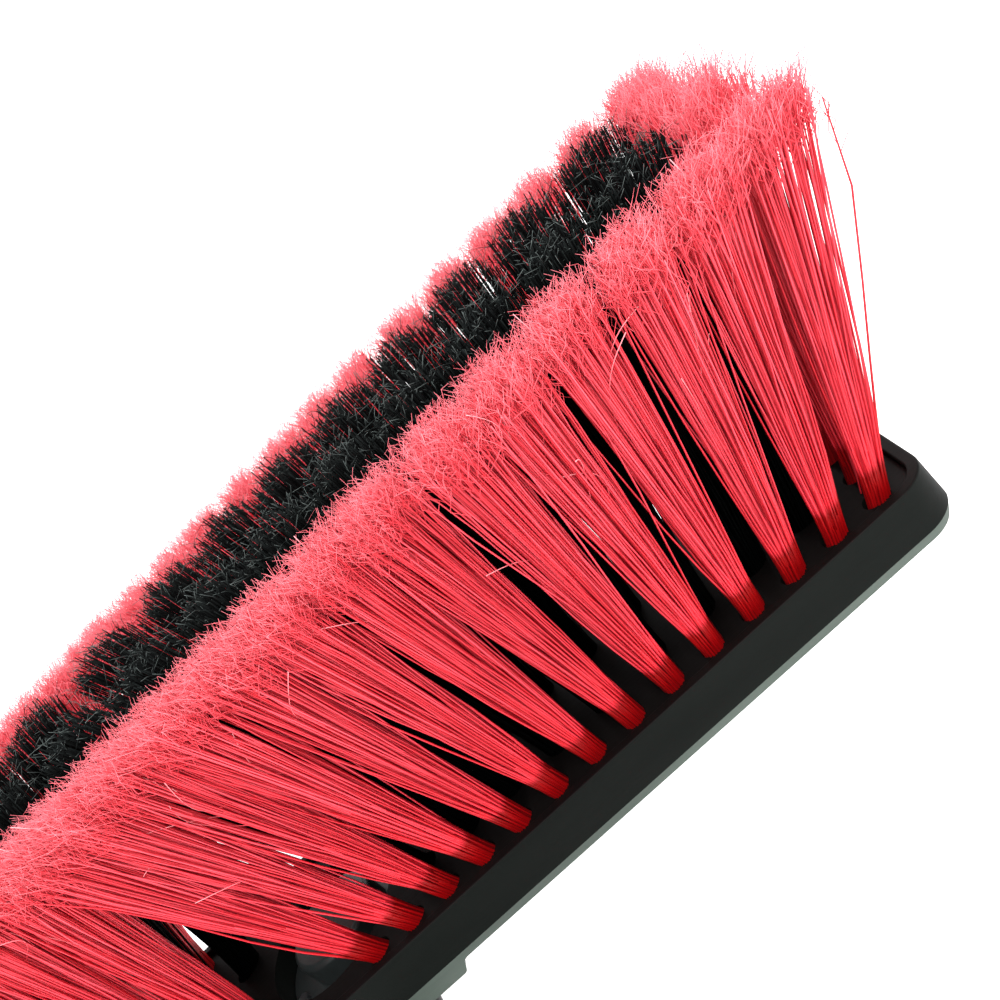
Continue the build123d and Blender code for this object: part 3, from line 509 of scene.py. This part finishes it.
def stray_filaments():
    """Long pale filaments that have worked loose: curved ones over the rows, straight ones at the ends."""
    curved, curved_r = 34, 0.09  # in each quarter of the head
    straight, straight_r = 16, 0.17  # at each end
    most_x, most_y, least_z = 162, 45, 20
    rng = np.random.default_rng(16)
    paths, thickness = [], []
    t = np.linspace(0, 1, 12)[:, None]
    for side in (-1, 1):
        for way in (-1, 1):
            for _ in range(curved):
                foot = OUTER_FIRST + OUTER_PITCH * rng.integers(0, OUTER_COUNT) + rng.uniform(-1, 1)
                share = rng.uniform(0.45, 0.8)
                lean = tip_along(foot) - foot
                start_x, start_y = way * (foot + lean * share), side * (OUTER_Y + 15 * share)
                start = np.array([start_x, start_y, TUFT_TOP * share])
                start[1] += side * rng.uniform(1.5, 3.5)
                reach = np.clip(rng.normal(0, 5, 3), -9, 9) * np.array([1, 0.3, 0.6])
                end = start + np.array([way * lean * 0.3, side * 4, rng.uniform(8, 20)]) + reach
                end = np.clip(end, (-most_x, -most_y, least_z), (most_x, most_y, TUFT_TOP))
                bow = np.array([rng.normal(0, 2.6), side * rng.uniform(0, 1.2), rng.normal(0, 1.6)])
                paths.append(start + (end - start) * t + bow * np.sin(math.pi * t))
                thickness.append(curved_r)
    for way in (-1, 1):
        for _ in range(straight):
            start = np.array([way * (END_X + rng.uniform(-2, 2)), rng.uniform(-1, 1) * OUTER_Y, -RECESS])
            end_x, end_y = way * rng.uniform(END_TIP_X, most_x), start[1] * 1.5 + rng.normal(0, 2)
            end = np.array([end_x, end_y, TUFT_TOP - 3])
            end[2] -= rng.uniform(0, 8)
            bow = np.array([rng.normal(0, 0.8), 0, 0])
            paths.append(start + (end - start) * t + bow * np.sin(math.pi * t))
            thickness.append(straight_r)
    paths = np.array(paths)
    shape = paths.shape[:2]
    loose = tube_mesh(
        "stray_filaments",
        HUB + paths * MM,
        np.broadcast_to(np.array(thickness)[:, None], shape) * MM,
        np.broadcast_to(t[:, 0], shape),
        np.broadcast_to(rng.random(shape[0])[:, None], shape),
        PALE_RED,
    )
    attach(loose, "head")


stray_filaments()


# ---------------------------------------------------------------- foam grip
def foam_grip():
    """Foam sleeve with soft ends, a slight waist and an uneven cut-cell surface."""
    low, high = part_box("foam_grip")
    middle_x, middle_z = (low.x + high.x) / 2, (low.z + high.z) / 2
    outer = (high.x - low.x) / 2
    inner = outer - 5.5 * MM
    end_round, waist_depth, cell_depth = 4 * MM, 0.5 * MM, 0.045
    length = high.y - low.y
    rings, around = 150, 120
    rng = np.random.default_rng(21)
    profile = []
    for i in range(rings + 1):
        share = i / rings
        end = min(share, 1 - share) * length
        rounding = end_round - math.sqrt(max(0.0, end_round ** 2 - max(0.0, end_round - end) ** 2))
        waist = waist_depth * math.sin(math.pi * share) ** 2
        profile.append((low.y + share * length, outer - rounding - waist * 0.6))
    verts, faces = [], []
    for y, r in [(low.y, inner)] + profile + [(high.y, inner)]:
        for j in range(around):
            a = 2 * math.pi * j / around
            bumpy = r - abs(rng.normal(0, cell_depth)) * MM if r > inner else r
            verts.append((middle_x + bumpy * math.cos(a), y, middle_z + bumpy * math.sin(a)))
    total = len(profile) + 2
    for i in range(total):
        for j in range(around):
            a, b = i * around + j, i * around + (j + 1) % around
            c, d = ((i + 1) % total) * around + (j + 1) % around, ((i + 1) % total) * around + j
            faces.append((a, b, c, d))
    mesh = bpy.data.meshes.new("foam_sleeve")
    mesh.from_pydata(verts, [], faces)
    mesh.polygons.foreach_set("use_smooth", [True] * len(faces))
    mesh.update()
    mesh.materials.append(FOAM)
    made = bpy.data.objects.new("foam_sleeve", mesh)
    bpy.context.scene.collection.objects.link(made)
    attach(made, "handle")
    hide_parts("foam_grip")


foam_grip()


# ---------------------------------------------------------------- stage, lights and camera
def floor():
    mesh = bpy.data.meshes.new("studio_floor")
    size = 6.0
    corners = [(-size, -size, 0), (size, -size, 0), (size, size, 0), (-size, size, 0)]
    mesh.from_pydata(corners, [], [(0, 1, 2, 3)])
    s = Shader("studio_white", roughness=0.9)
    s.bsdf.inputs["Base Color"].default_value = (0.92, 0.92, 0.92, 1)
    s.bsdf.inputs["Emission Color"].default_value = (1, 1, 1, 1)
    s.bsdf.inputs["Emission Strength"].default_value = 0.5
    mesh.materials.append(s.mat)
    made = bpy.data.objects.new("studio_floor", mesh)
    made.location.z = -0.0005
    bpy.context.scene.collection.objects.link(made)


def area_light(name, offset, target, size, power):
    """A square softbox at an offset from the pivot, in metres, aimed at a target offset."""
    data = bpy.data.lights.new(name, "AREA")
    data.shape = "SQUARE"
    data.size = size
    data.energy = power
    made = bpy.data.objects.new(name, data)
    bpy.context.scene.collection.objects.link(made)
    made.location = Vector(HUB) + Vector(offset)
    aim = Vector(HUB) + Vector(target) - made.location
    made.rotation_euler = aim.to_track_quat("-Z", "Y").to_euler()


floor()
world = bpy.data.worlds.new("studio")
bpy.context.scene.world = world
world.use_nodes = True
world.node_tree.nodes["Background"].inputs["Color"].default_value = (1, 1, 1, 1)
world.node_tree.nodes["Background"].inputs["Strength"].default_value = 1.1
area_light("key", (0.25, -0.75, 0.75), (0.07, 0, 0.03), 0.6, 16)
area_light("fill", (-0.9, -0.3, 0.5), (0.07, 0, 0.03), 0.8, 6)
area_light("back", (0.4, 0.9, 0.6), (0.07, 0, 0.03), 0.8, 5)

# The camera looks down the row of tufts with the head running up to the right of the picture.
CAMERA_AZIMUTH, CAMERA_ELEVATION, CAMERA_ROLL = math.radians(9.62), math.radians(20.57), math.radians(-47.80)
CAMERA_TARGET = np.array([70.05, 99.58, 0.0]) * MM
CAMERA_DISTANCE = 302.6 * MM
back = Vector((
    math.sin(CAMERA_AZIMUTH) * math.cos(CAMERA_ELEVATION),
    -math.cos(CAMERA_AZIMUTH) * math.cos(CAMERA_ELEVATION),
    math.sin(CAMERA_ELEVATION),
))
level = Vector((math.cos(CAMERA_AZIMUTH), math.sin(CAMERA_AZIMUTH), 0))
upright = back.cross(level)
right = math.cos(CAMERA_ROLL) * level + math.sin(CAMERA_ROLL) * upright
up = -math.sin(CAMERA_ROLL) * level + math.cos(CAMERA_ROLL) * upright
lens = bpy.data.cameras.new("camera")
lens.sensor_width = 36
lens.lens = 39.6
lens.clip_start = 0.01
camera = bpy.data.objects.new("camera", lens)
bpy.context.scene.collection.objects.link(camera)
turn = Matrix((right, up, back)).transposed()
camera.matrix_world = Matrix.Translation(Vector(HUB + CAMERA_TARGET) + back * CAMERA_DISTANCE) @ turn.to_4x4()
bpy.context.scene.camera = camera
bpy.context.scene.view_settings.view_transform = "Standard"
